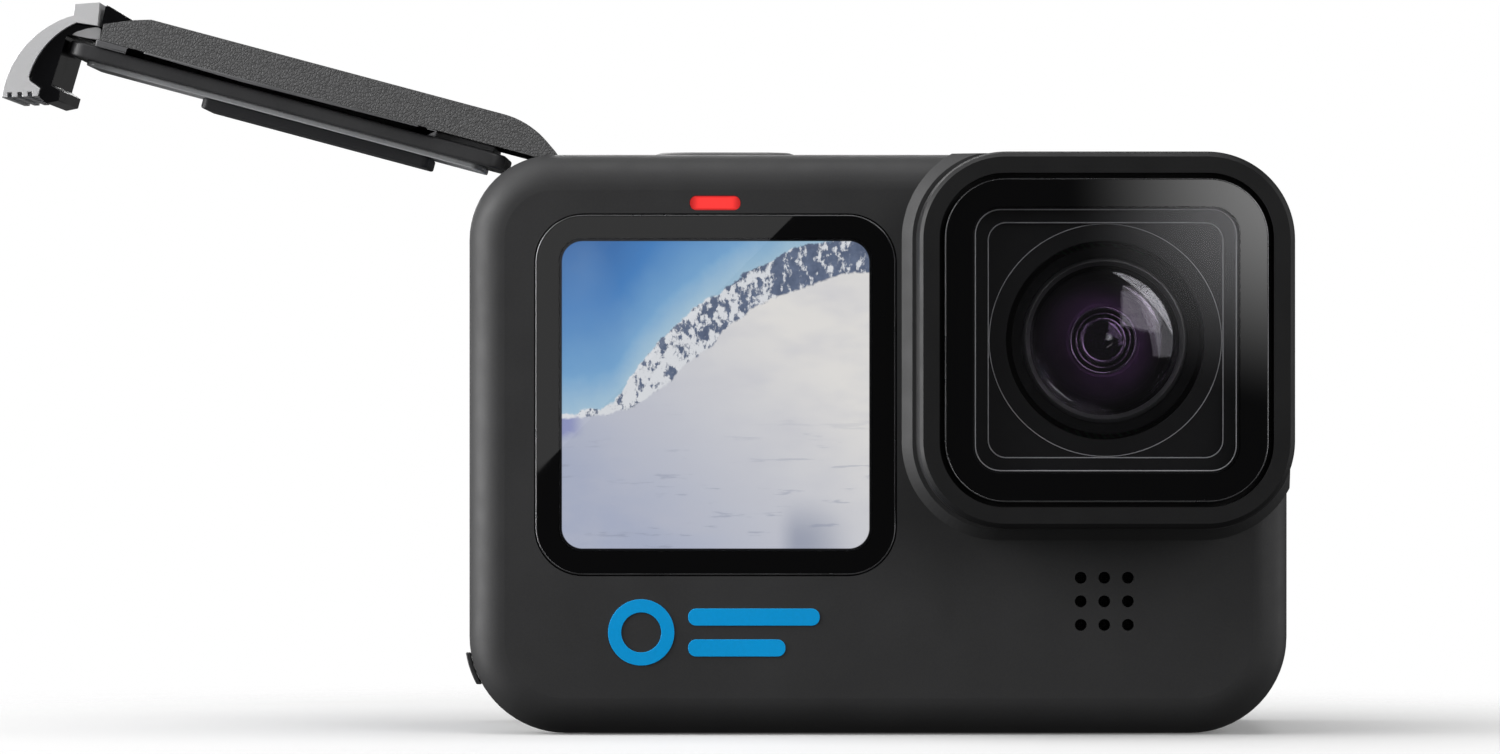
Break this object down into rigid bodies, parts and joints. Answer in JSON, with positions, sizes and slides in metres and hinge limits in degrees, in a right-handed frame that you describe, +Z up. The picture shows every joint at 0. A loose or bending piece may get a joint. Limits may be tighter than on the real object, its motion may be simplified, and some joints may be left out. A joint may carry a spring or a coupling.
{
  "type": "action camera",
  "caption": "Compact waterproof action camera with a front screen, square twist-off lens cover, hinged side door over the battery, and folding mounting fingers.",
  "frame": {"origin": "centre of the flat underside of the casing, midway between its left and right sides and midway through the casing's depth", "axes": "+Z up, -Y towards what the lens sees, +X to the lens side as seen from the front; the door opens on the -X side"},
  "size_m": [0.113, 0.0336, 0.0642],
  "materials": {
    "casing": "matte fine texture",
    "seal_rubber": "satin rubber",
    "frame_plastic": "moulded",
    "steel": "fine brushed",
    "screen_glass": "polished",
    "display": "lit display panel",
    "status_red": "lit light guide",
    "lens_black": "anti-reflection black",
    "lens_ring_grey": "satin",
    "lens_glass": "coated",
    "board_green": "solder mask",
    "chip_black": "moulded epoxy",
    "aluminium": "plain",
    "flex_copper": "polyimide film",
    "ceramic": "unglazed ceramic",
    "contact_gold": "plated",
    "badge_blue": "satin print",
    "door_texture": "leather-grain moulding",
    "door_inner": "moulded",
    "door_clear": "polished pale strip",
    "latch_satin": "satin silver",
    "claw_black": "moulded",
    "battery_grey": "wrapped cell",
    "tab_fabric": "woven tape"
  },
  "bodies": {
    "root": {"front_shell": "casing", "rear_shell": "casing", "shell_gasket": "seal_rubber", "side_frame": "frame_plastic", "battery_tray": "frame_plastic", "latch_keeper": "steel", "latch_guard": "seal_rubber", "hinge_pin": "steel", "front_glass": "screen_glass", "front_display": "display", "front_display_gasket": "seal_rubber", "front_status_light": "status_red", "rear_glass": "screen_glass", "rear_display": "display", "rear_status_light": "status_red", "lens_collar": "frame_plastic", "lens_seal": "seal_rubber", "lens_barrel": "lens_black", "lens_ring": "lens_ring_grey", "front_lens_element": "lens_glass", "inner_lens_elements": "lens_glass", "sensor_holder": "frame_plastic", "image_sensor": "chip_black", "sensor_board": "board_green", "main_board": "board_green", "board_chips": "chip_black", "heat_spreader": "aluminium", "board_screws": "steel", "display_flex": "flex_copper", "gps_antenna": "ceramic", "usb_port": "steel", "card_socket": "steel", "battery_contacts": "contact_gold", "speaker": "chip_black", "speaker_mesh": "seal_rubber", "microphones": "contact_gold", "shutter_switch": "steel", "shutter_seal": "seal_rubber", "mode_switch": "steel", "finger_bracket": "frame_plastic", "finger_pins": "steel", "badge": "badge_blue"},
    "door": {"door_shell": "door_texture", "door_carrier": "door_inner", "door_seal": "seal_rubber", "door_inner_plate": "door_clear", "door_pad": "frame_plastic", "latch_spring": "steel"},
    "latch": {"latch_cover": "latch_satin", "latch_claw": "claw_black"},
    "battery": {"battery_pack": "battery_grey", "battery_tab": "tab_fabric"},
    "card": {"memory_card": "chip_black"},
    "shutter": {"shutter_button": "frame_plastic"},
    "mode": {"mode_button": "frame_plastic"},
    "left_finger": {"finger_left": "frame_plastic"},
    "right_finger": {"finger_right": "frame_plastic"},
    "lens_cover": {"cover_frame": "casing", "cover_glass": "screen_glass", "cover_baffle": "lens_black"}
  },
  "joints": [
    {"name": "door_hinge", "type": "hinge", "parent": "root", "child": "door", "pos_m": [-0.03014, 0, 0.0477], "axis": [0, 1, 0], "range_deg": [-105, 0]},
    {"name": "latch_slide", "type": "slide", "parent": "door", "child": "latch", "axis": [-0.9659, 0, 0.2588], "range_m": [0, 0.0008], "stiffness_N_per_m": 300, "springref_m": -0.001},
    {"name": "battery_slide", "type": "slide", "parent": "root", "child": "battery", "axis": [-1, 0, 0], "range_m": [0, 0.044]},
    {"name": "card_slide", "type": "slide", "parent": "root", "child": "card", "axis": [-1, 0, 0], "range_m": [0, 0.0155]},
    {"name": "shutter_press", "type": "slide", "parent": "root", "child": "shutter", "axis": [0, 0, -1], "range_m": [0, 0.0004], "stiffness_N_per_m": 2000, "springref_m": -0.0002},
    {"name": "mode_press", "type": "slide", "parent": "root", "child": "mode", "axis": [-1, 0, 0], "range_m": [0, 0.0004], "stiffness_N_per_m": 2000, "springref_m": -0.0002},
    {"name": "finger_left_fold", "type": "hinge", "parent": "root", "child": "left_finger", "pos_m": [-0.00305, 0, 0.0016], "axis": [0, -1, 0], "range_deg": [0, 90]},
    {"name": "finger_right_fold", "type": "hinge", "parent": "root", "child": "right_finger", "pos_m": [0.00305, 0, 0.0016], "axis": [0, 1, 0], "range_deg": [0, 90]},
    {"name": "lens_twist", "type": "hinge", "parent": "root", "child": "lens_cover", "pos_m": [0.01946, 0, 0.03446], "axis": [0, -1, 0], "range_deg": [0, 45]}
  ]
}
